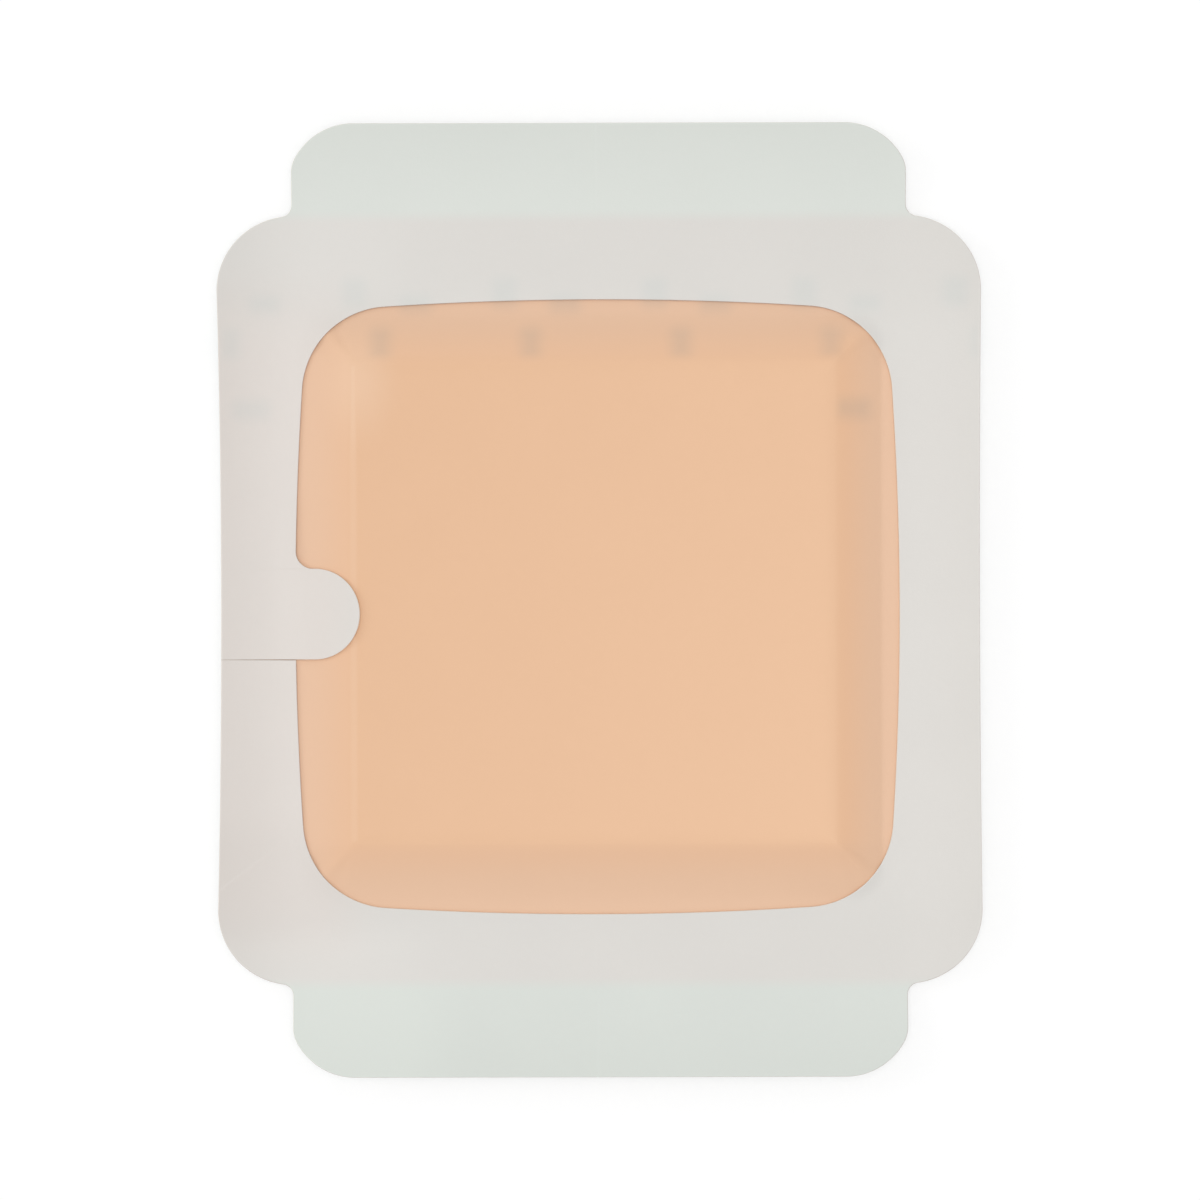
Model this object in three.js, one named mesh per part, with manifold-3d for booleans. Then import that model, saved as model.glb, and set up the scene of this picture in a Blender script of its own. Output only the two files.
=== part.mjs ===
// Adhesive foam dressing on its release liner, as it comes out of its pouch.
// A square foam pad hangs under a thin adhesive film. The film's border lies on the liner, and a
// die-cut delivery frame holds it flat from above, with a window over the pad, a finger tab on
// the window's left edge, and a slit below that tab so that the frame can be pulled away.
//
// Millimetres, +Z up, +Y towards one pull tab. The origin is the middle of the liner's underside,
// which lies flat under the pad and rises gently towards all its edges.

import * as THREE from 'three';
import { mergeVertices } from 'three/addons/utils/BufferGeometryUtils.js';
import Module from 'manifold-3d';

const wasm = await Module();
wasm.setup();

// Thicknesses, from the bottom up
const linerThickness = 0.15;
const padThickness = 2.4;
const filmThickness = 0.1;
const frameThickness = 0.18;
const glueLine = 0.05;

// Die-cut outline that the liner and the delivery frame share: a wide part with a pull tab at
// each end. The film is cut to the wide part only.
const borderWidth = 101.6;
const borderLength = 102.4;
const borderCorner = 10;
const tabWidth = 81.8;
const overallLength = 126.7;
const tabCornerSide = 4.1;
const tabCornerEnd = 9;
const tabCornerTurn = THREE.MathUtils.degToRad(31);
const notchFillet = 1.6;

// Foam pad, laid a little off the middle
const padSide = 64;
const padCorner = 1.5;
const padEdgeRound = 0.6;
const padShiftX = -0.6;
const padShiftY = -0.3;

// Width over which the film slopes from the pad's top edge down to the liner
const tentWidth = 5.6;

// Window in the delivery frame: four long, slightly bowed sides with round corners
const windowWidth = 80.5;
const windowLength = 81.9;
const windowSideRadius = 450;
const windowCorner = 11.7;
const windowShiftX = -0.25;
const windowShiftY = -0.92;

// Finger tab, a round lobe of the frame that reaches from the window's left edge over the pad
const fingerReach = 8.65;
const fingerRadius = 6.04;
const fingerY = -1.79;
const fingerFillet = 2.3;
const fingerClearance = 0.1;

// Slit from the finger tab's lower side to the frame's left edge. The side above it bends up to
// the pad: flapRoot is where across the frame it starts to rise, and flapLength how far along the
// frame it takes to settle back onto the film.
const slitWidth = 0.2;
const flapRoot = -46;
const flapLength = 20;

// How far the edges rise from the flat middle, and how far frame and liner part at the tabs
const sideLift = 2.2;
const endLift = 2.4;
const tabParting = 0.7;

// Facets to each arc and slope, and how far blanks and dies reach past what they cut
const cornerSteps = 10;
const filletSteps = 5;
const sideSteps = 4;
const curlSteps = 4;
const tentSteps = 3;
const fadeSteps = 4;
const margin = 2;
const weld = 1e-5;

// Heights in the stack, where all the sheets are flat
const padUnderside = linerThickness + glueLine;
const filmUnderside = linerThickness + glueLine;
const frameUnderside = filmUnderside + filmThickness + glueLine;
const tentHeight = padThickness + glueLine;

const padLeft = padShiftX - padSide / 2;
const windowLeft = windowShiftX - windowWidth / 2;
const fingerX = windowLeft + fingerReach - fingerRadius;
const slitTop = fingerY - fingerRadius;

// The liner stays flat as far out as the foot of the film's slope
const flatX = padSide / 2 + Math.abs(padShiftX) + tentWidth;
const flatY = padSide / 2 + Math.abs(padShiftY) + tentWidth;

function steps(from, to, count) {
  return Array.from({ length: count + 1 }, (_, i) => from + ((to - from) * i) / count);
}

// Grid lines along one axis: both slopes of the film, both curled borders, and any others
function gridLines(flat, edge, padMiddle, others) {
  const halfPad = padSide / 2;
  const lines = [
    ...steps(flat, edge, curlSteps),
    ...steps(-flat, -edge, curlSteps),
    ...steps(padMiddle + halfPad, padMiddle + halfPad + tentWidth, tentSteps),
    ...steps(padMiddle - halfPad, padMiddle - halfPad - tentWidth, tentSteps),
    edge + margin,
    -edge - margin,
    ...others,
  ];
  lines.sort((a, b) => a - b);
  return lines.filter((line, i) => i === 0 || line - lines[i - 1] > weld);
}

const fingerTop = fingerY + fingerRadius + fingerFillet;
const linesX = gridLines(flatX, borderWidth / 2, padShiftX, []);
const linesY = gridLines(flatY, overallLength / 2, padShiftY, [
  ...steps(slitTop - 0.75 * slitWidth, slitTop - 0.25 * slitWidth, 1),
  ...steps(fingerTop, fingerTop + flapLength, fadeSteps),
]);

// Rise of the liner towards its edges, as the square of the distance beyond the flat middle
function curl(x, y) {
  const sideways = Math.max(Math.abs(x) - flatX, 0) / (borderWidth / 2 - flatX);
  const endways = Math.max(Math.abs(y) - flatY, 0) / (overallLength / 2 - flatY);
  return sideLift * sideways ** 2 + endLift * endways ** 2;
}

// Height of the film over the liner: level on the pad, then straight down to the tent's foot
function tent(x, y) {
  const dx = Math.max(Math.abs(x - padShiftX) - padSide / 2, 0);
  const dy = Math.max(Math.abs(y - padShiftY) - padSide / 2, 0);
  return tentHeight * Math.max(1 - Math.hypot(dx, dy) / tentWidth, 0);
}

// Height of the frame over the flat film: above the slit it rises as the square of the distance
// from the root until the finger tab lies on the pad, and settles back over the flap's length
function flap(x, y) {
  const across = THREE.MathUtils.clamp((x - flapRoot) / (padLeft - flapRoot), 0, 1);
  const rise = across ** 2;
  const above = y > slitTop - 0.5 * slitWidth ? 1 : 0;
  const fade = 1 - THREE.MathUtils.smoothstep(y, fingerTop, fingerTop + flapLength);
  return x < 0 ? (tentHeight + fingerClearance) * rise * above * fade : 0;
}

// Gap that opens between the frame and the liner towards the ends of the pull tabs
function parting(y) {
  const tabStart = borderLength / 2;
  const along = Math.max(Math.abs(y) - tabStart, 0) / (overallLength / 2 - tabStart);
  return tabParting * along ** 2;
}

function solid(geometry) {
  geometry.deleteAttribute('normal');
  geometry.deleteAttribute('uv');
  const merged = mergeVertices(geometry, weld);
  return new wasm.Manifold(new wasm.Mesh({
    numProp: 3,
    vertProperties: new Float32Array(merged.attributes.position.array),
    triVerts: new Uint32Array(merged.index.array),
  }));
}

// Closed slab over the grid lines. Its underside is at height(x, y), and its top and bottom
// facets have the same diagonals, so sheets laid on each other never cross.
function slab(height, thickness) {
  const nx = linesX.length;
  const ny = linesY.length;
  const position = [];
  for (const rise of [0, thickness]) {
    for (const y of linesY) {
      for (const x of linesX) {
        position.push(x, y, height(x, y) + rise);
      }
    }
  }
  const index = [];
  const under = (i, j) => j * nx + i;
  const over = (i, j) => nx * ny + under(i, j);
  for (let j = 0; j + 1 < ny; j++) {
    for (let i = 0; i + 1 < nx; i++) {
      index.push(over(i, j), over(i + 1, j), over(i + 1, j + 1));
      index.push(over(i, j), over(i + 1, j + 1), over(i, j + 1));
      index.push(under(i, j), under(i + 1, j + 1), under(i + 1, j));
      index.push(under(i, j), under(i, j + 1), under(i + 1, j + 1));
    }
  }
  const wall = (i, j, k, l) => {
    index.push(under(i, j), under(k, l), over(k, l));
    index.push(under(i, j), over(k, l), over(i, j));
  };
  for (let i = 0; i + 1 < nx; i++) {
    wall(i, 0, i + 1, 0);
    wall(i + 1, ny - 1, i, ny - 1);
  }
  for (let j = 0; j + 1 < ny; j++) {
    wall(nx - 1, j, nx - 1, j + 1);
    wall(0, j + 1, 0, j);
  }
  const geometry = new THREE.BufferGeometry();
  geometry.setAttribute('position', new THREE.Float32BufferAttribute(position, 3));
  geometry.setIndex(index);
  return solid(geometry);
}

// Upright prism of an outline, taller than the whole stack, that works as its cutting die
function die(shape) {
  const reach = margin + tentHeight + sideLift + endLift + tabParting + frameUnderside + frameThickness;
  const prism = new THREE.ExtrudeGeometry(shape, { depth: 2 * reach, bevelEnabled: false });
  prism.translate(0, 0, -reach);
  return solid(prism);
}

// Full outline from its upper right quarter, mirrored left and then down
function fromQuarter(quarter, shiftX = 0, shiftY = 0) {
  const mirrored = quarter.map((p) => new THREE.Vector2(-p.x, p.y)).reverse();
  const upper = [...quarter, ...mirrored];
  const lower = upper.map((p) => new THREE.Vector2(p.x, -p.y)).reverse();
  const outline = [...upper, ...lower];
  const different = outline.filter((p, i) => p.distanceTo(outline.at(i - 1)) > weld);
  return new THREE.Shape(different.map((p) => new THREE.Vector2(p.x + shiftX, p.y + shiftY)));
}

function onCircle(centre, radius, angle) {
  return new THREE.Vector2(centre.x + radius * Math.cos(angle), centre.y + radius * Math.sin(angle));
}

function arc(centre, radius, from, to, count) {
  return steps(from, to, count).map((angle) => onCircle(centre, radius, angle));
}

function roundedRectangle(width, length, corner, shiftX = 0, shiftY = 0) {
  const centre = new THREE.Vector2(width / 2 - corner, length / 2 - corner);
  return fromQuarter(arc(centre, corner, 0, Math.PI / 2, cornerSteps), shiftX, shiftY);
}

// Wide part and pull tabs in one outline. The fillet in the notch touches the wide part's round
// corner on its outside and the tab's straight side. Two arcs that touch round each corner of a
// tab, a tight one at its side and a wide one at its end.
function borderOutline() {
  const corner = new THREE.Vector2(borderWidth / 2 - borderCorner, borderLength / 2 - borderCorner);
  const between = tabCornerEnd - tabCornerSide;
  const drop = tabCornerEnd - between * Math.sin(tabCornerTurn);
  const lower = new THREE.Vector2(tabWidth / 2 - tabCornerSide, overallLength / 2 - drop);
  const upper = onCircle(lower, -between, tabCornerTurn);
  const notchX = tabWidth / 2 + notchFillet;
  const rise = Math.sqrt((borderCorner + notchFillet) ** 2 - (notchX - corner.x) ** 2);
  const notch = new THREE.Vector2(notchX, corner.y + rise);
  const touch = notch.clone().sub(corner).angle();
  return fromQuarter([
    ...arc(corner, borderCorner, 0, touch, cornerSteps),
    ...arc(notch, notchFillet, touch + Math.PI, Math.PI, filletSteps),
    ...arc(lower, tabCornerSide, 0, tabCornerTurn, 4),
    ...arc(upper, tabCornerEnd, tabCornerTurn, Math.PI / 2, 6),
  ]);
}

// Rectangle with bowed sides. Each corner circle touches both side arcs from inside, so its
// centre is at the side radius less the corner radius from the centres of both arcs.
function bowedRectangle(width, length, sideRadius, corner, shiftX, shiftY) {
  const right = new THREE.Vector2(width / 2 - sideRadius, 0);
  const upper = new THREE.Vector2(0, length / 2 - sideRadius);
  const middle = right.clone().add(upper).multiplyScalar(0.5);
  const halfway = right.distanceTo(upper) / 2;
  const outwards = new THREE.Vector2(-upper.y, -right.x).normalize();
  const centre = middle.addScaledVector(outwards, Math.sqrt((sideRadius - corner) ** 2 - halfway ** 2));
  const fromRight = centre.clone().sub(right).angle();
  const fromUpper = centre.clone().sub(upper).angle();
  return fromQuarter([
    ...arc(right, sideRadius, 0, fromRight, sideSteps),
    ...arc(centre, corner, fromRight, fromUpper, cornerSteps),
    ...arc(upper, sideRadius, fromUpper, Math.PI / 2, sideSteps),
  ], shiftX, shiftY);
}

// Finger tab: a circle on the slit's upper side, joined to the window's left edge by a fillet
// that touches the circle from outside and the edge
function fingerOutline() {
  const lobe = new THREE.Vector2(fingerX, fingerY);
  const filletX = windowLeft + fingerFillet;
  const rise = Math.sqrt((fingerRadius + fingerFillet) ** 2 - (filletX - fingerX) ** 2);
  const fillet = new THREE.Vector2(filletX, fingerY + rise);
  const touch = fillet.clone().sub(lobe).angle();
  const inFrame = windowLeft - margin;
  return new THREE.Shape([
    new THREE.Vector2(inFrame, slitTop),
    ...arc(lobe, fingerRadius, -Math.PI / 2, touch, 2 * cornerSteps),
    ...arc(fillet, fingerFillet, touch - Math.PI, -Math.PI, filletSteps).slice(1),
    new THREE.Vector2(inFrame, fillet.y),
  ]);
}

function slitOutline() {
  const outside = -borderWidth / 2 - margin;
  const inside = windowLeft + margin;
  return new THREE.Shape([
    new THREE.Vector2(outside, slitTop - slitWidth),
    new THREE.Vector2(inside, slitTop - slitWidth),
    new THREE.Vector2(inside, slitTop),
    new THREE.Vector2(outside, slitTop),
  ]);
}

const group = new THREE.Group();

function addMesh(name, geometry, material) {
  const mesh = new THREE.Mesh(geometry, material);
  mesh.name = name;
  group.add(mesh);
}

function addSolid(name, manifold, material) {
  const { vertProperties, triVerts } = manifold.getMesh();
  const geometry = new THREE.BufferGeometry();
  geometry.setAttribute('position', new THREE.BufferAttribute(vertProperties, 3));
  geometry.setIndex(new THREE.BufferAttribute(triVerts, 1));
  addMesh(name, geometry, material);
}

// Release liner: silicone-coated paper under everything
const liner = slab((x, y) => curl(x, y), linerThickness).intersect(die(borderOutline()));
addSolid('release_liner', liner, new THREE.MeshStandardMaterial({
  color: 0xe8ebe6, roughness: 0.55, metalness: 0, side: THREE.DoubleSide,
}));

// Foam pad: soft open-cell foam with a slightly rounded edge
const pad = new THREE.ExtrudeGeometry(roundedRectangle(padSide, padSide, padCorner), {
  depth: padThickness - 2 * padEdgeRound,
  bevelThickness: padEdgeRound,
  bevelSize: padEdgeRound,
  bevelOffset: -padEdgeRound,
  bevelSegments: 2,
});
pad.translate(padShiftX, padShiftY, padUnderside + padEdgeRound);
addMesh('foam_pad', pad, new THREE.MeshStandardMaterial({ color: 0xefe0cf, roughness: 0.95, metalness: 0 }));

// Backing film: thin skin-coloured film, level on the pad and stuck down all round it
const film = slab((x, y) => filmUnderside + curl(x, y) + tent(x, y), filmThickness)
  .intersect(die(roundedRectangle(borderWidth, borderLength, borderCorner)));
addSolid('backing_film', film, new THREE.MeshStandardMaterial({
  color: 0xebc2a1, roughness: 0.5, metalness: 0, side: THREE.DoubleSide,
}));

// Delivery frame: translucent carrier with its window, finger tab and slit cut out
const windowHole = die(bowedRectangle(
  windowWidth, windowLength, windowSideRadius, windowCorner, windowShiftX, windowShiftY,
)).subtract(die(fingerOutline()));
const frameHeight = (x, y) => frameUnderside + curl(x, y) + parting(y) + Math.max(tent(x, y), flap(x, y));
const frame = slab(frameHeight, frameThickness)
  .intersect(die(borderOutline()))
  .subtract(windowHole)
  .subtract(die(slitOutline()));
addSolid('delivery_frame', frame, new THREE.MeshStandardMaterial({
  color: 0xe0dad3, roughness: 0.45, metalness: 0, side: THREE.DoubleSide,
}));

export default group;
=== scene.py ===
import math

import bpy
import numpy as np
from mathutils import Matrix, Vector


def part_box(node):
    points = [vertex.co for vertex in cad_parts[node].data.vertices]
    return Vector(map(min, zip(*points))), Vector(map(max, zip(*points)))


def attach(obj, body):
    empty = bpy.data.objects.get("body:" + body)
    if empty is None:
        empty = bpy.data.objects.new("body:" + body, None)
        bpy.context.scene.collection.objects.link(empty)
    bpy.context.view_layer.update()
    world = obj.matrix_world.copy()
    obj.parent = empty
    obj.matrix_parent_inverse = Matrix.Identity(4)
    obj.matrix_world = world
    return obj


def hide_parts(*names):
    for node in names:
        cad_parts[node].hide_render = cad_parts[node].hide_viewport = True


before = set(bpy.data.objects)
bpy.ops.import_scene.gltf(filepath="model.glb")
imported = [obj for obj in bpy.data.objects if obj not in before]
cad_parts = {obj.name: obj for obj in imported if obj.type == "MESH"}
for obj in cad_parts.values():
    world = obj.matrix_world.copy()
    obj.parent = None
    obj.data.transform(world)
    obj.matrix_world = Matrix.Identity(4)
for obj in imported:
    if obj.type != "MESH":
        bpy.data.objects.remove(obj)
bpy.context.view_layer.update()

# Release liner: paper coated with silicone, die-cut with a pull tab at each end. It lies flat
# under the pad, its borders rise a little, as paper off a reel does, and its underside carries
# four rows of pale printed bars.
MM = 0.001
liner_low, liner_high = (np.array(corner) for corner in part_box("release_liner"))
film_low, film_high = (np.array(corner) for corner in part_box("backing_film"))
pad_low, pad_high = (np.array(corner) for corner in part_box("foam_pad"))
border_width, border_length = (film_high - film_low)[:2]
overall_length = (liner_high - liner_low)[1]
pad_middle = (pad_low + pad_high)[:2] / 2
pad_half = (pad_high - pad_low)[0] / 2

liner_thickness = 0.15 * MM
glue_line = pad_low[2] - liner_thickness
border_corner = 10 * MM
tab_width = 81.8 * MM
tab_corner_side = 4.1 * MM
tab_corner_end = 9 * MM
tab_corner_turn = math.radians(31)
notch_fillet = 1.6 * MM
side_bow_left = 0.5 * MM
side_bow_right = 0.25 * MM
border_centre = np.array([border_width / 2 - border_corner, border_length / 2 - border_corner])

flat_margin = 5.6 * MM
flat_x = pad_half + abs(pad_middle[0]) + flat_margin
flat_y = pad_half + abs(pad_middle[1]) + flat_margin
side_lift = 2.2 * MM
end_lift = 2.4 * MM
wave_height = 0.18 * MM
wave_fade = 0.25
edge_row = 0.12 * MM
liner_stations = np.concatenate([[0.02], np.linspace(0.1, 0.55, 10), np.linspace(0.58, 1, 40)])


def arc(centre, radius, start, end, spacing=0.3 * MM):
    """Points on a circle about centre, from angle start to angle end, evenly spaced."""
    count = max(math.ceil(abs(end - start) * radius / spacing), 8)
    angle = np.linspace(start, end, count + 1)
    return np.column_stack([centre[0] + radius * np.cos(angle), centre[1] + radius * np.sin(angle)])


def angle_of(vector):
    """Direction of a vector, anticlockwise from +X."""
    return math.atan2(vector[1], vector[0])


def mirrored(quarter):
    """Closed outline, anticlockwise from +X, from its upper right quarter: x and then y change sign."""
    upper = np.concatenate([quarter, quarter[::-1] * (-1, 1)])
    return np.concatenate([upper, upper[::-1] * (1, -1)])


def evenly(outline, spacing):
    """The outline with points added on its straight stretches, none further apart than spacing."""
    start, end = outline, np.roll(outline, -1, axis=0)
    length = np.linalg.norm(end - start, axis=1)
    count = np.ceil(length / spacing).astype(int)
    piece = np.repeat(np.arange(len(outline)), count)
    first = np.repeat(np.cumsum(count) - count, count)
    share = (np.arange(count.sum()) - first) / count[piece]
    return start[piece] + share[:, None] * (end - start)[piece]


def bowed(outline):
    """The outline with the wide part's sides bowed in, as parabolas from corner arc to corner arc."""
    x, y = outline.T
    bow = np.where(x > 0, -side_bow_right, side_bow_left)
    return np.column_stack([x + bow * np.clip(1 - (y / border_centre[1]) ** 2, 0, None), y])


def border_outline(spacing):
    """Wide part and pull tabs: the notch's fillet touches the corner arc from outside, at a distance
    of both radii, and the tab's straight side. Each tab corner is a tight arc at its side and a wide
    one at its end, which touch."""
    notch_x = tab_width / 2 + notch_fillet
    rise = math.sqrt((border_corner + notch_fillet) ** 2 - (notch_x - border_centre[0]) ** 2)
    notch = np.array([notch_x, border_centre[1] + rise])
    touch = angle_of(notch - border_centre)
    between = tab_corner_end - tab_corner_side
    drop = tab_corner_end - between * math.sin(tab_corner_turn)
    lower = np.array([tab_width / 2 - tab_corner_side, overall_length / 2 - drop])
    upper = lower - between * np.array([math.cos(tab_corner_turn), math.sin(tab_corner_turn)])
    quarter = np.concatenate([
        arc(border_centre, border_corner, 0, touch),
        arc(notch, notch_fillet, touch + math.pi, math.pi, 0.15 * MM),
        arc(lower, tab_corner_side, 0, tab_corner_turn),
        arc(upper, tab_corner_end, tab_corner_turn, math.pi / 2)[1:],
    ])
    return bowed(evenly(mirrored(quarter), spacing))


def wave(x, y):
    """Slow waves that only the raised borders have: two crossed sines, fading to none over the flat."""
    beyond = np.maximum(np.abs(x) / flat_x, np.abs(y) / flat_y) - 1
    weight = np.clip(beyond, 0, wave_fade) / wave_fade
    sideways = np.sin(x / (11 * MM) + 1.3 * np.sin(y / (19 * MM)))
    endways = np.sin(y / (13 * MM) - 0.7 + x / (23 * MM))
    return wave_height * weight * (sideways + endways) / 2


def curl(x, y):
    """Rise of the liner's underside: the square of the distance beyond the flat middle, plus the waves."""
    sideways = np.clip(np.abs(x) - flat_x, 0, None) / (border_width / 2 - flat_x)
    endways = np.clip(np.abs(y) - flat_y, 0, None) / (overall_length / 2 - flat_y)
    return np.maximum(side_lift * sideways ** 2 + end_lift * endways ** 2 + wave(x, y), 0)


def lofted(name, loops):
    """Closed mesh through a row of closed loops: quads between neighbours, and the end loops filled.
    Point j of loop i joins point j of loop i + 1 and point j + 1 of its own loop."""
    rows, columns = loops.shape[:2]
    i, j = np.meshgrid(np.arange(rows - 1), np.arange(columns), indexing="ij")
    right = (j + 1) % columns
    here, there = i * columns, (i + 1) * columns
    quads = np.stack([here + j, here + right, there + right, there + j], -1)
    last = (rows - 1) * columns
    ends = [list(range(columns))[::-1], list(range(last, last + columns))]
    mesh = bpy.data.meshes.new(name)
    mesh.from_pydata(loops.reshape(-1, 3).tolist(), [], quads.reshape(-1, 4).tolist() + ends)
    mesh.polygons.foreach_set("use_smooth", np.ones(len(mesh.polygons), dtype=bool))
    mesh.validate()
    piece = bpy.data.objects.new(name, mesh)
    bpy.context.scene.collection.objects.link(piece)
    return piece


def leaf(name, ring, under, over, stations, edge_round):
    """Closed thin sheet from rings of points about the middle. ring(s) gives the ring at station s, from
    0 in the middle to the last station at the outline; the loops run out along the underside,
    round the edge, and back along the top. under(x, y) and over(x, y) are the two heights. One ring
    runs close inside the edge, so that the smooth shading turns only there."""
    def lifted(flat, height):
        return np.column_stack([flat, height(flat[:, 0], flat[:, 1])])

    outline = ring(stations[-1])
    away = 1 / np.linalg.norm(outline, axis=1)[:, None]
    low, high = lifted(outline, under), lifted(outline, over)
    flats = [ring(s) for s in stations[:-1]]
    flats += [outline * (1 - (edge_round + edge_row) * away), outline * (1 - edge_round * away)]
    cut = [low * 0.7 + high * 0.3, low * 0.3 + high * 0.7]
    loops = [lifted(f, under) for f in flats] + cut + [lifted(f, over) for f in flats[::-1]]
    return lofted(name, np.stack(loops)[:, ::-1])


border = border_outline(0.8 * MM)
liner = leaf(
    "liner_sheet",
    lambda s: border * s,
    curl,
    lambda x, y: curl(x, y) + liner_thickness,
    liner_stations,
    0.03 * MM,
)


def wired(tree, kind, inputs=(), **settings):
    """New shader node. Each input is its socket's name or number and its value, or the output that
    feeds it."""
    made = tree.nodes.new(kind)
    for name, value in settings.items():
        setattr(made, name, value)
    for key, value in inputs:
        if isinstance(value, bpy.types.NodeSocket):
            tree.links.new(value, made.inputs[key])
        else:
            made.inputs[key].default_value = value
    return made


class Term:
    """A number that varies over a surface. Arithmetic on it adds Math nodes to its finish."""

    def __init__(self, finish, socket):
        self.finish = finish
        self.socket = socket

    def math(self, operation, *others):
        return self.finish.node("ShaderNodeMath", {"operation": operation}, enumerate((self, *others)))

    def __add__(self, other):
        return self.math("ADD", other)

    def __sub__(self, other):
        return self.math("SUBTRACT", other)

    def __rsub__(self, other):
        return self * -1 + other

    def __mul__(self, other):
        return self.math("MULTIPLY", other)

    def __abs__(self):
        return self.math("ABSOLUTE")


class Finish:
    """A Principled material. Its x, y and z are the place on the object, in millimetres."""

    def __init__(self, name, **constants):
        self.material = bpy.data.materials.new(name)
        self.material.use_nodes = True
        self.tree = self.material.node_tree
        self.shader = self.tree.nodes["Principled BSDF"]
        for socket, value in constants.items():
            self.shader.inputs[socket.replace("_", " ")].default_value = value
        place = self.node("ShaderNodeTexCoord", output="Object")
        to_mm = [(0, place), ("Scale", 1 / MM)]
        self.place = self.node("ShaderNodeVectorMath", {"operation": "SCALE"}, to_mm)
        self.x, self.y, self.z = self.split(self.place)

    def node(self, kind, settings=None, inputs=(), output=0):
        sockets = [(key, getattr(value, "socket", value)) for key, value in inputs]
        return Term(self, wired(self.tree, kind, sockets, **(settings or {})).outputs[output])

    def split(self, vector):
        """The x, y and z of a vector."""
        apart = wired(self.tree, "ShaderNodeSeparateXYZ", [(0, vector.socket)])
        return [Term(self, socket) for socket in apart.outputs]

    def normal(self):
        """The x, y and z of the direction in which the surface faces."""
        return self.split(self.node("ShaderNodeNewGeometry", output="Normal"))

    def ramp(self, value, start, end, low=0.0, high=1.0):
        """low up to start, high from end on, and a smooth step between."""
        return self.node("ShaderNodeMapRange", {"interpolation_type": "SMOOTHSTEP"}, [
            ("Value", value), ("From Min", start), ("From Max", end), ("To Min", low), ("To Max", high),
        ])

    def mix(self, share, first, second):
        """first where share is 0 and second where it is 1."""
        return self.node("ShaderNodeMix", {"data_type": "RGBA"}, [(0, share), (6, first), (7, second)], 2)

    def noise(self, size, detail=2.0, roughness=0.5):
        """Noise about 0, between -1 and 1, whose lumps are about size millimetres across."""
        raw = self.node("ShaderNodeTexNoise", inputs=[
            ("Vector", self.place), ("Scale", 1 / size), ("Detail", detail), ("Roughness", roughness),
        ])
        return raw * 2 - 1

    def bump(self, height, depth):
        """Bump whose height is in units of depth, a real depth in metres."""
        made = self.node("ShaderNodeBump", inputs=[("Height", height), ("Distance", depth)])
        self.tree.links.new(made.socket, self.shader.inputs["Normal"])

    def feed(self, socket, value):
        self.tree.links.new(value.socket, self.shader.inputs[socket])


def tint(red, green, blue):
    """Colour of a shader socket from the eight-bit red, green and blue that it should look like."""
    share = np.array([red, green, blue]) / 255
    linear = np.where(share > 0.04045, ((share + 0.055) / 1.055) ** 2.4, share / 12.92)
    return (*linear.tolist(), 1.0)


# Each row of print: its y, pitch, first bar's x, and half a bar's width and height, in mm
print_rows = [
    (41.0, 20.0, 7.4, 1.5, 1.8),
    (39.5, 20.0, -4.5, 1.9, 1.0),
    (34.2, 20.0, -9.1, 1.2, 1.9),
    (25.4, 20.0, 13.7, 2.3, 1.2),
]
print_reach = 49.8
print_corner = 0.9


def print_marks(finish, softness):
    """1 inside the printed bars and 0 outside. Each bar is a rounded box: the distance to its core box,
    less the corner radius, goes through a smooth step 2 softness wide."""
    marks = None
    for height, pitch, start, half_width, half_height in print_rows:
        along = abs((finish.x - start).math("WRAP", pitch / 2, -pitch / 2)) - (half_width - print_corner)
        up = abs(finish.y - height) - (half_height - print_corner)
        along = along.math("MAXIMUM", 0)
        up = up.math("MAXIMUM", 0)
        distance = (along * along + up * up).math("SQRT") - print_corner
        bars = finish.ramp(distance, -softness, softness, 1.0, 0.0)
        marks = bars if marks is None else marks.math("MAXIMUM", bars)
    return marks * finish.ramp(abs(finish.x), print_reach, print_reach + 1, 1.0, 0.0)


paper = Finish("liner_paper", Roughness=0.42, Specular_IOR_Level=0.4)
mottle = paper.noise(6, 3) * 0.02 + paper.noise(0.6, 2) * 0.015
paper_white = paper.mix(mottle + 0.5, tint(224, 229, 222), tint(240, 243, 238))
downwards = paper.ramp(paper.normal()[2], -0.6, -0.4, 1.0, 0.0)
printed = print_marks(paper, 0.08) * downwards
paper.feed("Base Color", paper.mix(printed, paper_white, tint(142, 190, 190)))
paper.bump(paper.noise(0.35, 4, 0.6), 0.01 * MM)
liner.data.materials.append(paper.material)
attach(liner, "root")
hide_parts("release_liner")

# Foam pad: soft open-cell foam, cut square, its upper edge pressed round by the film over it.
# It lies on the liner, stuck only to the film, and takes up what the wound gives off.
pad_corner = 1.5 * MM
pad_round = 0.6 * MM
pad_height = pad_high[2] - pad_low[2]
pad_rows = 9
foam_dome = 0.10 * MM
foam_unevenness = 0.03 * MM
tent_right = 6.3 * MM
tent_left = 7.3 * MM
tent_top = 6.2 * MM
tent_bottom = 7.8 * MM
shoulder_round = 0.14
foot_round = 0.3
right_foot_round = 0.03
right_foot_from = 24 * MM
right_foot_over = 8 * MM
corner_power = 3


def soft_positive(value, softness):
    """max(value, 0) with its corner rounded: half of value plus the root of its square and softness's."""
    return (value + np.sqrt(value * value + softness * softness)) / 2


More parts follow.
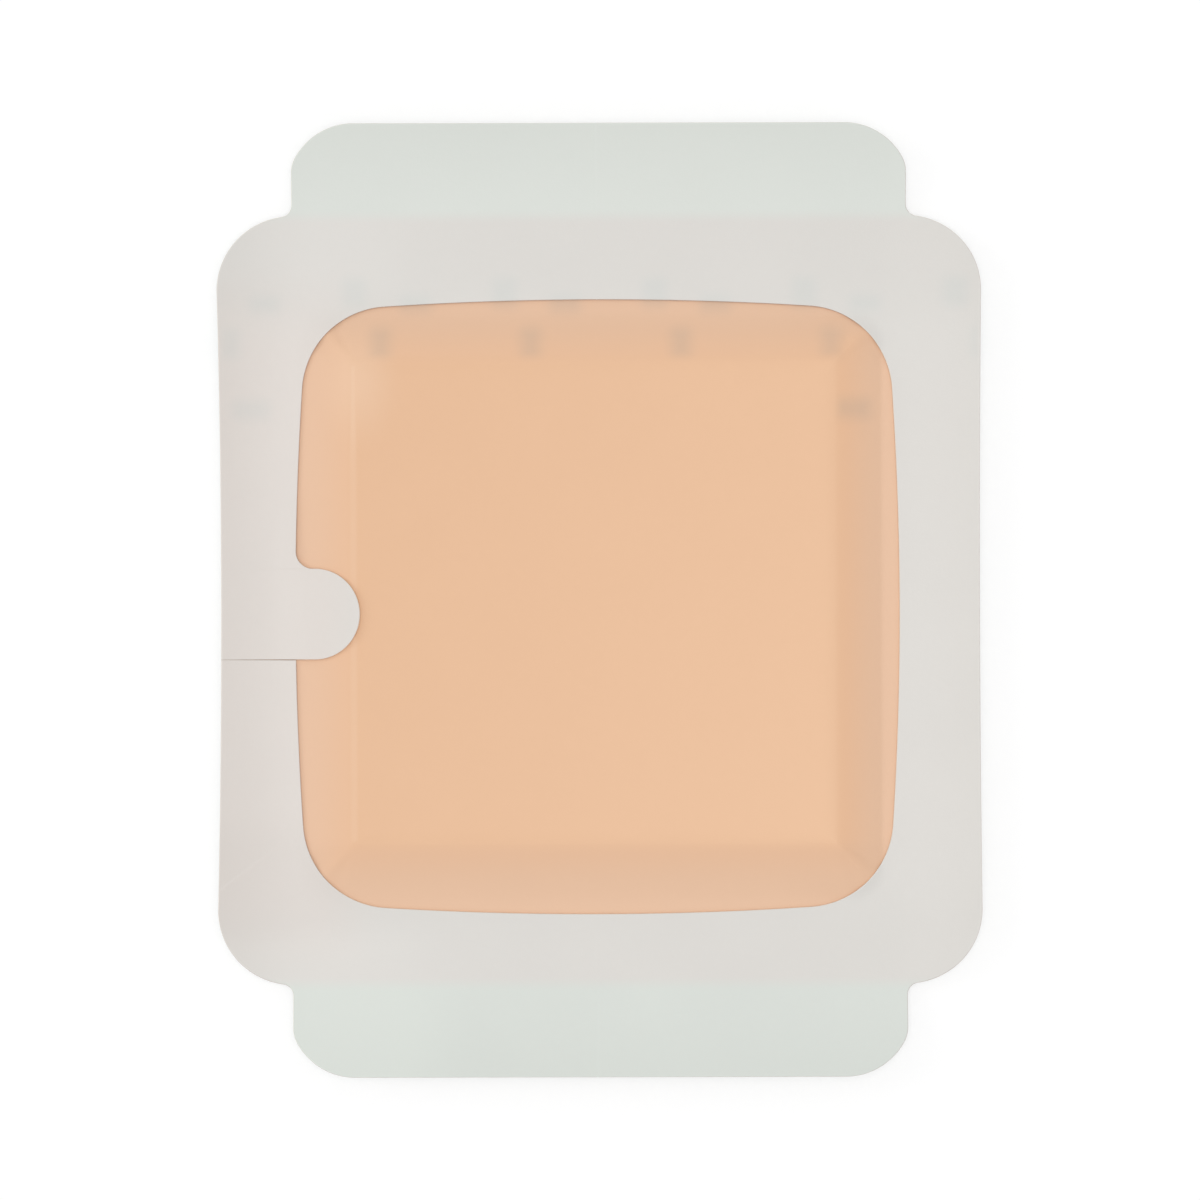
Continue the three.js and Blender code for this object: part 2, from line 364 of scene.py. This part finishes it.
def tent_share(x, y):
    """Distance out from the pad's edge as a share of the tent's width on that side; below 0 on the pad.
    At a corner the shares of both sides join as in a superellipse."""
    dx = np.abs(x - pad_middle[0]) - pad_half
    dy = np.abs(y - pad_middle[1]) - pad_half
    wide = np.where(x > pad_middle[0], tent_right, tent_left)
    high = np.where(y > pad_middle[1], tent_top, tent_bottom)
    across, along = np.clip(dx, 0, None) / wide, np.clip(dy, 0, None) / high
    outside = (across ** corner_power + along ** corner_power) ** (1 / corner_power)
    return outside + np.minimum(np.maximum(dx, dy), 0) / flat_margin


def tent(x, y):
    """Height of the film over the liner: full on the pad, falling in a straight line to the foot, with
    both folds rounded. The foot is crisp on the right."""
    fall = soft_positive(tent_share(x, y), shoulder_round)
    rightward = np.clip((x - right_foot_from) / right_foot_over, 0, 1)
    softness = foot_round + rightward * (right_foot_round - foot_round)
    return (pad_height + glue_line) * soft_positive(1 - fall, softness) / soft_positive(1, softness)


def foam_sag(x, y):
    """Swell of the foam's top: a shallow dome and slow unevenness, none at the edges or beyond."""
    u, v = (x - pad_middle[0]) / pad_half, (y - pad_middle[1]) / pad_half
    uneven = np.sin(u * 7 + 2 * v) + np.sin(v * 8 - 1.5 * u + 1)
    swell = (foam_dome + foam_unevenness * uneven) * (1 - u * u) * (1 - v * v)
    return np.where(np.maximum(np.abs(u), np.abs(v)) < 1, swell, 0)


def foam_height(x, y):
    """Height of the foam's top over its underside, a glue line under the film."""
    return tent(x, y) - glue_line + foam_sag(x, y)


side = np.linspace(0, math.pi, pad_rows)
pad_quarter = arc(np.full(2, pad_half - pad_corner), pad_corner, 0, math.pi / 2)
ring_scale = evenly(mirrored(pad_quarter), 0.5 * MM) / pad_half
fillet_in = pad_round * (1 - np.sin(side) ** 0.6)
loops = []
for s in (0.03, 0.3, 0.6, 0.9, 0.97):
    flat = pad_middle + ring_scale * pad_half * s
    loops.append(np.column_stack([flat, np.full(len(flat), pad_low[2])]))
for step, angle in enumerate(side):
    flat = pad_middle + ring_scale * (pad_half - fillet_in[step])
    share = 0.5 - 0.5 * math.cos(angle)
    loops.append(np.column_stack([flat, pad_low[2] + share * foam_height(flat[:, 0], flat[:, 1])]))
for s in np.concatenate([[0.97, 0.94], np.linspace(0.9, 0.1, 25), [0.03]]):
    flat = pad_middle + ring_scale * pad_half * s
    loops.append(np.column_stack([flat, pad_low[2] + foam_height(flat[:, 0], flat[:, 1])]))
pad = lofted("pad_foam_block", np.stack(loops)[:, ::-1])

foam = Finish("pad_foam", Roughness=0.95, Specular_IOR_Level=0.2)
cells = foam.node("ShaderNodeTexVoronoi", {"feature": "SMOOTH_F1"}, [
    ("Vector", foam.place), ("Scale", 2.2), ("Smoothness", 0.4),
])
foam.feed("Base Color", foam.mix(cells, tint(246, 236, 222), tint(226, 211, 192)))
foam.bump(cells * -1 + foam.noise(0.3, 3) * 0.4, 0.12 * MM)
pad.data.materials.append(foam.material)
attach(pad, "root")
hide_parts("foam_pad")

# Backing film: thin tan polyurethane with adhesive on its underside. It is stuck on the pad's
# top, slopes down all round it like a tent, and is stuck on the liner out to its cut edge.
film_thickness = 0.1 * MM
pucker_height = 0.10 * MM
pucker_folds = 9
pucker_reach = 1.35
film_stations = np.concatenate([
    [0.02], np.linspace(0.08, 0.92, 22), np.linspace(0.95, 1.05, 5), np.linspace(1.12, 1.88, 9),
    np.linspace(1.94, 2.06, 5), np.linspace(2.12, 3, 16),
])


def pucker(x, y):
    """Small folds that fan out from the pad's four corners: a sine of the angle about the corner,
    strongest halfway down the tent."""
    dx = np.abs(x - pad_middle[0]) - pad_half
    dy = np.abs(y - pad_middle[1]) - pad_half
    share = tent_share(x, y)
    fan = np.arctan2(np.clip(dy, 0, None), np.clip(dx, 1e-6, None))
    at_corner = np.clip(np.sin(2 * fan), 0, None)
    along = np.clip(share, 0, pucker_reach) / pucker_reach
    return pucker_height * np.sin(pucker_folds * fan + 0.8) * at_corner * np.sin(np.pi * along) ** 2


def film_under(x, y):
    """Underside of the film."""
    return curl(x, y) + liner_thickness + glue_line + tent(x, y) + pucker(x, y) + foam_sag(x, y)


def radius_at(outline, angle):
    """Distance from the pad's middle to the outline in each direction, read between the outline's points."""
    offset = outline - pad_middle
    around = np.arctan2(offset[:, 1], offset[:, 0])
    return np.interp(angle, around, np.linalg.norm(offset, axis=1), period=2 * math.pi)


def foot_outline():
    """Foot of the tent: the pad's sides moved out by each side's tent width, with superelliptic corners."""
    quarter = np.linspace(0, math.pi / 2, 40)
    corners = []
    for turn, (wide, high) in enumerate([
        (tent_right, tent_top), (tent_left, tent_top), (tent_left, tent_bottom), (tent_right, tent_bottom),
    ]):
        angle = quarter + turn * math.pi / 2
        sign = (1 if turn in (0, 3) else -1, 1 if turn in (0, 1) else -1)
        reach_x = np.abs(np.cos(angle)) ** (2 / corner_power)
        reach_y = np.abs(np.sin(angle)) ** (2 / corner_power)
        corners.append(np.column_stack([
            pad_middle[0] + sign[0] * (pad_half + wide * reach_x),
            pad_middle[1] + sign[1] * (pad_half + high * reach_y),
        ]))
    return np.concatenate(corners)


film_edge = bowed(evenly(mirrored(arc(border_centre, border_corner, 0, math.pi / 2)), 0.6 * MM))
square_quarter = np.array([[pad_half, 0], [pad_half, pad_half], [0, pad_half]])
pad_square = evenly(mirrored(square_quarter), 0.5 * MM) + pad_middle
foot = evenly(foot_outline(), 0.5 * MM)
film_offset = film_edge - pad_middle
film_around = np.arctan2(film_offset[:, 1], film_offset[:, 0])
corner_angles = np.radians([-135, -45, 45, 135])
film_angle = np.sort(np.concatenate([film_around, corner_angles]))
film_radii = np.stack([
    np.zeros(len(film_angle)),
    radius_at(pad_square, film_angle),
    radius_at(foot, film_angle),
    radius_at(film_edge, film_angle),
])
film_heading = np.column_stack([np.cos(film_angle), np.sin(film_angle)])


def film_ring(s):
    """Ring at station s: 0 the middle, 1 the pad's edge, 2 the tent's foot, 3 the cut edge."""
    whole = min(int(s), 2)
    radius = film_radii[whole] + (s - whole) * (film_radii[whole + 1] - film_radii[whole])
    return pad_middle + film_heading * radius[:, None]


film = leaf(
    "film_sheet",
    film_ring,
    film_under,
    lambda x, y: film_under(x, y) + film_thickness,
    film_stations,
    0.02 * MM,
)

# Tan over the foam, and lighter where the film lies on the liner, darker towards both ends. Where the film
# hangs in the air over the tent's slopes it has a painted shade, a warmer tan set per side by how the light
# falls. Print shows faintly beside the pad, and a painted highlight runs along the pad's left shoulder and
# over the tent's upper left corner.
skin = Finish("tan_film", Roughness=0.5, Specular_IOR_Level=0.45)
edge_x = abs(skin.x - pad_middle[0] / MM) - pad_half / MM
edge_y = abs(skin.y - pad_middle[1] / MM) - pad_half / MM
past_edge = edge_x.math("MAXIMUM", edge_y)
over_foam = skin.ramp(past_edge, -0.9, 1.3, 1.0, 0.0)
blotch = skin.noise(9, 3) * 0.1 + skin.noise(1.1, 3) * 0.07
far_end = skin.ramp(skin.y, 30, 36)
near_end = skin.ramp(skin.y, -34, -31, 1.0, 0.0)
on_liner = blotch * 2 + 1 - far_end - near_end * 0.5
film_on_liner = skin.mix(on_liner, tint(230.2, 190.2, 158.8), tint(234.6, 194, 162.3))
# Painted shade over the tent's slopes: a darker, warmer tan, with its own tint on the right side and at the
# near end, matched to the light on each slope.
film_in_air_painted_shade = skin.mix(skin.ramp(skin.x, 28, 33), tint(235, 190.8, 155.2), tint(238, 191, 153.2))
film_in_air_painted_shade = skin.mix(near_end, film_in_air_painted_shade, tint(233.2, 188.8, 153.8))
film_on_liner = skin.mix(skin.ramp(past_edge, 0, 6, 1.0, 0.0), film_on_liner, film_in_air_painted_shade)
over_pad = blotch + skin.x * 0.0085 - skin.y * 0.004 + 0.5
film_on_foam = skin.mix(over_pad, tint(230.4, 185, 147), tint(239.2, 194.5, 157))
film_tan = skin.mix(over_foam, film_on_liner, film_on_foam)
ghost = print_marks(skin, 1.6) * (1 - over_foam) * 0.28
# Painted highlight: a pale line along the pad's left shoulder, which faces the light.
rim = skin.ramp(abs(skin.x - (pad_low[0] / MM - 0.1)), 0.1, 0.7, 1.0, 0.0)
rim = rim * skin.ramp(edge_y, -0.8, 0.2, 1.0, 0.0) * skin.ramp(skin.x - skin.y, -61, -50, 0.4, 0.14)
# Painted highlight on the tent's upper left corner, whose slope faces the light.
across = skin.x - (pad_low[0] / MM + 0.5)
along = skin.y - (pad_high[1] / MM - 2.5)
painted_corner_highlight = skin.ramp((across * across + along * along * 0.4).math("SQRT"), 0, 6.5, 0.3, 0.0)
film_tan = skin.mix(rim.math("MAXIMUM", painted_corner_highlight), film_tan, tint(246, 214, 186))
skin.feed("Base Color", skin.mix(ghost, film_tan, tint(176, 164, 150)))
skin.bump(skin.noise(0.28, 3, 0.6) + skin.noise(1.6, 2) * 1.5 * over_foam, 0.006 * MM)
film.data.materials.append(skin.material)
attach(film, "root")
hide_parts("backing_film")

# Delivery frame: translucent carrier film, die-cut with a bowed window, a finger tab and a slit
# below it. It is lightly stuck on the film's border; the side above the slit stands up, so that
# the finger tab lies on the pad, and the frame's ends part from the liner at the pull tabs.
frame_thickness = 0.18 * MM
frame_edge_round = 0.09 * MM
window_width = 80.5 * MM
window_length = 81.9 * MM
window_side_radius = 450 * MM
window_corner = 11.7 * MM
window_middle = np.array([-0.25, -0.92]) * MM
finger_reach = 8.65 * MM
finger_radius = 6.04 * MM
finger_y = -1.79 * MM
finger_fillet = 2.3 * MM
finger_clearance = 0.1 * MM
slit_width = 0.10 * MM
slit_end_width = 0.01 * MM
flap_root = -46 * MM
flap_length = 20 * MM
window_lift = 0.10 * MM
window_lift_width = 6 * MM
tab_parting = 0.7 * MM
match_length = 20 * MM
across_rows = 18
# Turns about the middle: the window's first point past the slit, and the mesh's line beside the slit
least_turn = 0.003
first_turn = 0.0024

window_left = window_middle[0] - window_width / 2
finger = np.array([window_left + finger_reach - finger_radius, finger_y])
slit_top = finger_y - finger_radius
finger_top = finger_y + finger_radius + finger_fillet


def window_quarter():
    """Upper right quarter of the window: side arc, corner arc that touches both sides from inside,
    and end arc. The corner's centre is at the side radius less its own from both long arcs' centres."""
    right = np.array([window_width / 2 - window_side_radius, 0])
    upper = np.array([0, window_length / 2 - window_side_radius])
    halfway = np.linalg.norm(right - upper) / 2
    outwards = np.array([-upper[1], -right[0]]) / np.linalg.norm([upper[1], right[0]])
    reach = math.sqrt((window_side_radius - window_corner) ** 2 - halfway ** 2)
    corner = (right + upper) / 2 + outwards * reach
    first, second = angle_of(corner - right), angle_of(corner - upper)
    return np.concatenate([
        arc(right, window_side_radius, 0, first, 0.4 * MM),
        arc(corner, window_corner, first, second),
        arc(upper, window_side_radius, second, math.pi / 2, 0.4 * MM),
    ])


def window_edge_x(y):
    """Left edge of the window at height y, on its bowed side."""
    off = y - window_middle[1]
    return window_left + window_side_radius - math.sqrt(window_side_radius ** 2 - off * off)


def frame_inner():
    """Inner outline of the frame, anticlockwise from the slit's lower side round the window to the
    finger tab's fillet, round the tab, and back to the slit's upper side."""
    window = evenly(mirrored(window_quarter()), 0.4 * MM) + window_middle
    edge = window_edge_x(finger_top)
    fillet_x = edge + finger_fillet
    rise = math.sqrt((finger_radius + finger_fillet) ** 2 - (fillet_x - finger[0]) ** 2)
    fillet = np.array([fillet_x, finger_y + rise])
    start = np.array([window_edge_x(slit_top - slit_width), slit_top - slit_width])
    turn = np.arctan2(window[:, 1], window[:, 0])
    from_start = (turn - angle_of(start)) % (2 * math.pi)
    until = (math.atan2(fillet[1], edge) - angle_of(start)) % (2 * math.pi)
    kept = np.flatnonzero((from_start > least_turn) & (from_start < until - least_turn))
    kept = kept[np.argsort(from_start[kept])]
    touch = angle_of(fillet - finger)
    return np.concatenate([
        [start],
        window[kept],
        arc(fillet, finger_fillet, math.pi, touch + math.pi, 0.15 * MM),
        arc(finger, finger_radius, touch, -math.pi / 2, 0.25 * MM)[1:],
    ])


def matching_angle(points):
    """Direction in which the border lies from each inner point: straight sideways beside the finger tab
    and the slit, turning to straight out from the middle further along."""
    x, y = points.T
    away = np.clip((np.abs(y) - finger_top) / match_length, 0, 1)
    away = np.where(x < 0, away * away * (3 - 2 * away), 1)
    sideways = np.arctan2(y, -border_width / 2) % (2 * math.pi)
    outwards = np.arctan2(y, x) % (2 * math.pi)
    return sideways * (1 - away) + outwards * away


inner = frame_inner()
start_angle = matching_angle(inner[:1])[0]
inner_turn = np.maximum.accumulate((matching_angle(inner) - start_angle) % (2 * math.pi))
outer = border_outline(0.4 * MM)
outer_turn = (np.arctan2(outer[:, 1], outer[:, 0]) - start_angle) % (2 * math.pi)
order = np.argsort(outer_turn)
outer, outer_turn = outer[order], outer_turn[order]
beside_slit = [first_turn, inner_turn[-1] - first_turn]
outer_part = outer_turn[outer_turn < inner_turn[-1]]
turns = np.unique(np.concatenate([inner_turn, outer_part, beside_slit]))
inner_line = np.column_stack([np.interp(turns, inner_turn, inner[:, k]) for k in (0, 1)])
outer_line = np.column_stack([
    np.interp(turns, outer_turn, outer[:, k], period=2 * math.pi) for k in (0, 1)
])
outer_line[0, 1] = slit_top - slit_end_width
outer_line[-1, 1] = slit_top


def flap(x, y):
    """Height of the frame over the flat film: above the slit it rises as the square of the distance from
    the root until the finger tab clears the pad's top, and it settles back over the flap's length."""
    across = np.clip((x - flap_root) / (pad_low[0] - flap_root), 0, 1)
    fade = np.clip((y - finger_top) / flap_length, 0, 1)
    above = np.where(y > slit_top - slit_end_width / 4, 1 - fade * fade * (3 - 2 * fade), 0)
    return np.where(x < 0, (pad_height + glue_line + finger_clearance) * across ** 2 * above, 0)


def frame_under(x, y):
    """Underside of the frame: on the film's top, or on the flap where that is higher, and parting from
    the liner with the square of the way along each pull tab."""
    along = np.clip(np.abs(y) - border_length / 2, 0, None) / ((overall_length - border_length) / 2)
    film_top = curl(x, y) + liner_thickness + 2 * glue_line + film_thickness
    return film_top + tab_parting * along ** 2 + np.maximum(tent(x, y), flap(x, y))


def frame_loops():
    """Closed cross-sections of the frame from its inner to its outer line: out along the underside,
    up the cut edge, and back along the top, with the cut edges slightly round. The inner edge stands
    a hair off the film."""
    across = outer_line - inner_line
    length = np.linalg.norm(across, axis=1)[:, None]
    inset = frame_edge_round / length
    near = inset + edge_row / length
    middle = near + np.linspace(0, 1, across_rows)[None, :] * (1 - 2 * near)
    shares = np.concatenate([inset, middle, 1 - inset], axis=1)
    rim = np.array([0.0, 1.0])[None, :] + 0 * inset

    def at(share, level):
        flat = inner_line[:, None, :] + share[:, :, None] * across[:, None, :]
        height = frame_under(flat[..., 0], flat[..., 1]) + level * frame_thickness
        height = height + window_lift * np.clip(1 - share * length / window_lift_width, 0, 1) ** 2
        return np.concatenate([flat, height[..., None]], axis=2)

    return np.concatenate([
        at(shares, 0), at(rim[:, 1:], 0.3), at(rim[:, 1:], 0.7),
        at(shares[:, ::-1], 1), at(rim[:, :1], 0.7), at(rim[:, :1], 0.3),
    ], axis=1)


carrier = lofted("frame_sheet", frame_loops()[::-1])

# Warm white over the tan film and greenish over the liner's tabs, a little brighter at the left corners,
# with a painted shade low on the left. Cut edges that face the upper left, and the finger tab's, have a
# painted highlight, and the others a painted shade.
pale = Finish("frame_film", Roughness=0.46, Specular_IOR_Level=0.45)
mottle = pale.noise(14, 3) * 0.35 + pale.noise(0.9, 3) * 0.12 + 0.5
border_end = border_length / 2 / MM
bright_corner = pale.ramp(pale.x, -30, -15, 1.0, 0.0) * pale.ramp(pale.y, -47, -41, 1.0, 0.0)
mottle = mottle + bright_corner * 0.6
over_film = pale.ramp(abs(pale.y), border_end - 1.2, border_end + 1.0, 1.0, 0.0)
close = pale.ramp(pale.x, -38, -28, 1.0, 0.0) * pale.ramp(abs(pale.y + 3), 35, 50, 1.0, 0.0)
ends = pale.ramp(abs(pale.y), 34, 44)
upper_left = pale.ramp(pale.x, -32, -22, 1.0, 0.0) * pale.ramp(pale.y, 38, 44)
tan_share = mottle - ends * 0.4 + upper_left * 0.5
over_tan = pale.mix(tan_share, tint(218.5, 215.5, 210.5), tint(224.5, 221.5, 216.5))
# Painted shade: the frame's left part darkens towards its lower end.
painted_low_left_shade = pale.ramp(pale.y, -36, -26, 1.0, 0.0)
over_close = pale.mix(mottle - painted_low_left_shade * 0.7, tint(222, 215, 209), tint(228, 221, 215))
over_tan = pale.mix(close, over_tan, over_close)
far_tab = pale.mix(mottle, tint(216.5, 220.5, 214.5), tint(221, 225, 219))
near_tab = pale.mix(mottle, tint(213, 217.5, 212), tint(219, 224, 217.5))
over_liner = pale.mix(pale.ramp(pale.y, -50, 50), near_tab, far_tab)
pale_tone = pale.mix(over_film, over_liner, over_tan)
pale_ghost = print_marks(pale, 1.4) * over_film * 0.10
pale_tone = pale.mix(pale_ghost, pale_tone, tint(150, 186, 188))
towards_x, towards_y, upwards = pale.normal()
# Painted light on the cut edges: a cream highlight where they face the upper left and on the finger tab, a
# reddish painted shade on the others.
cut_edge = pale.ramp(upwards, 0.6, 0.92, 1.0, 0.0)
beside_finger = abs(pale.y - finger_y / MM)
on_finger = pale.ramp(pale.x, -41, -40) * pale.ramp(beside_finger, 6.4, 7, 1.0, 0.0)
on_finger = on_finger * pale.ramp(pale.x, -20, -19, 1.0, 0.0)
lit_side = pale.ramp(towards_y - towards_x, -0.1, 0.1).math("MAXIMUM", on_finger)
painted_edge_light = pale.mix(lit_side, tint(190, 160, 145), tint(250, 240, 224))
pale.feed("Base Color", pale.mix(cut_edge * 0.8, pale_tone, painted_edge_light))
pale.bump(pale.noise(0.3, 3, 0.6) + pale.noise(2.4, 2), 0.006 * MM)
carrier.data.materials.append(pale.material)
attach(carrier, "root")
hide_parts("delivery_frame")

# Floor: a plain white table top. To the camera most of its white is its own, so that it stays
# white in every view, and the rest is lit, so that it keeps the dressing's soft shadow.
floor_half = 1.5
floor_gap = 0.02 * MM
floor_paint = (0.95, 0.95, 0.95, 1)
white = (1, 1, 1, 1)
own_white = 0.5
own_strength = 1.11
bpy.ops.mesh.primitive_plane_add(size=2 * floor_half, location=(0, 0, -floor_gap))
floor = bpy.context.active_object
floor.name = "table_top"
table = bpy.data.materials.new("table_white")
table.use_nodes = True
tree = table.node_tree
tree.nodes.clear()
rays = wired(tree, "ShaderNodeLightPath").outputs
seen = rays["Is Camera Ray"]
for ray in ("Is Glossy Ray", "Is Transmission Ray"):
    either = wired(tree, "ShaderNodeMath", [(0, seen), (1, rays[ray])], operation="ADD", use_clamp=True)
    seen = either.outputs[0]
share = wired(tree, "ShaderNodeMath", [(0, seen), (1, own_white)], operation="MULTIPLY")
lit = wired(tree, "ShaderNodeBsdfDiffuse", [("Color", floor_paint)])
glow = wired(tree, "ShaderNodeEmission", [("Color", white), ("Strength", own_strength)])
both = wired(tree, "ShaderNodeMixShader", [
    (0, share.outputs[0]), (1, lit.outputs[0]), (2, glow.outputs[0]),
])
wired(tree, "ShaderNodeOutputMaterial", [("Surface", both.outputs[0])])
floor.data.materials.append(table)

# Light: an even white surround, a large soft lamp low on the left and a little above, and another
# high overhead. Each lamp's share of the light on a level face, elevation, azimuth and width.
surround = 0.62
lamps = [
    ("window_light", 0.045, 20, 166, 24),
    ("ceiling_light", 0.31, 90, 0, 45),
]
world = bpy.data.worlds.new("surround")
bpy.context.scene.world = world
world.use_nodes = True
tree = world.node_tree
tree.nodes.clear()
rays = wired(tree, "ShaderNodeLightPath").outputs
lighting = wired(tree, "ShaderNodeBackground", [("Color", white), ("Strength", surround)])
backdrop = wired(tree, "ShaderNodeBackground", [("Color", white)])
both = wired(tree, "ShaderNodeMixShader", [
    (0, rays["Is Camera Ray"]), (1, lighting.outputs[0]), (2, backdrop.outputs[0]),
])
wired(tree, "ShaderNodeOutputWorld", [("Surface", both.outputs[0])])

for name, part_of_light, elevation, azimuth, width in lamps:
    lamp = bpy.data.lights.new(name, "SUN")
    lamp.energy = part_of_light * math.pi / math.sin(math.radians(elevation))
    lamp.angle = math.radians(width)
    lamp_object = bpy.data.objects.new(name, lamp)
    bpy.context.scene.collection.objects.link(lamp_object)
    lamp_object.rotation_euler = (0, math.radians(90 - elevation), math.radians(azimuth))

# Camera: straight above, as in the photograph, whose 1200 pixels span the field's width at the
# height of the dressing's rim. The shift and the roll are the photograph's own.
photo_pixels = 1200
pixel = 0.13282 * MM
lens = 150
sensor = 36
rim_height = 3.2 * MM
shift_x = 0.4 * pixel
shift_y = -0.1 * pixel
roll = -0.15
camera = bpy.data.cameras.new("camera")
camera.lens = lens
camera.sensor_width = sensor
camera.clip_end = 10
camera_object = bpy.data.objects.new("camera", camera)
bpy.context.scene.collection.objects.link(camera_object)
camera_object.location = (shift_x, shift_y, rim_height + photo_pixels * pixel * lens / sensor)
camera_object.rotation_euler = (0, 0, math.radians(roll))
bpy.context.scene.camera = camera_object
bpy.context.scene.view_settings.view_transform = "Standard"
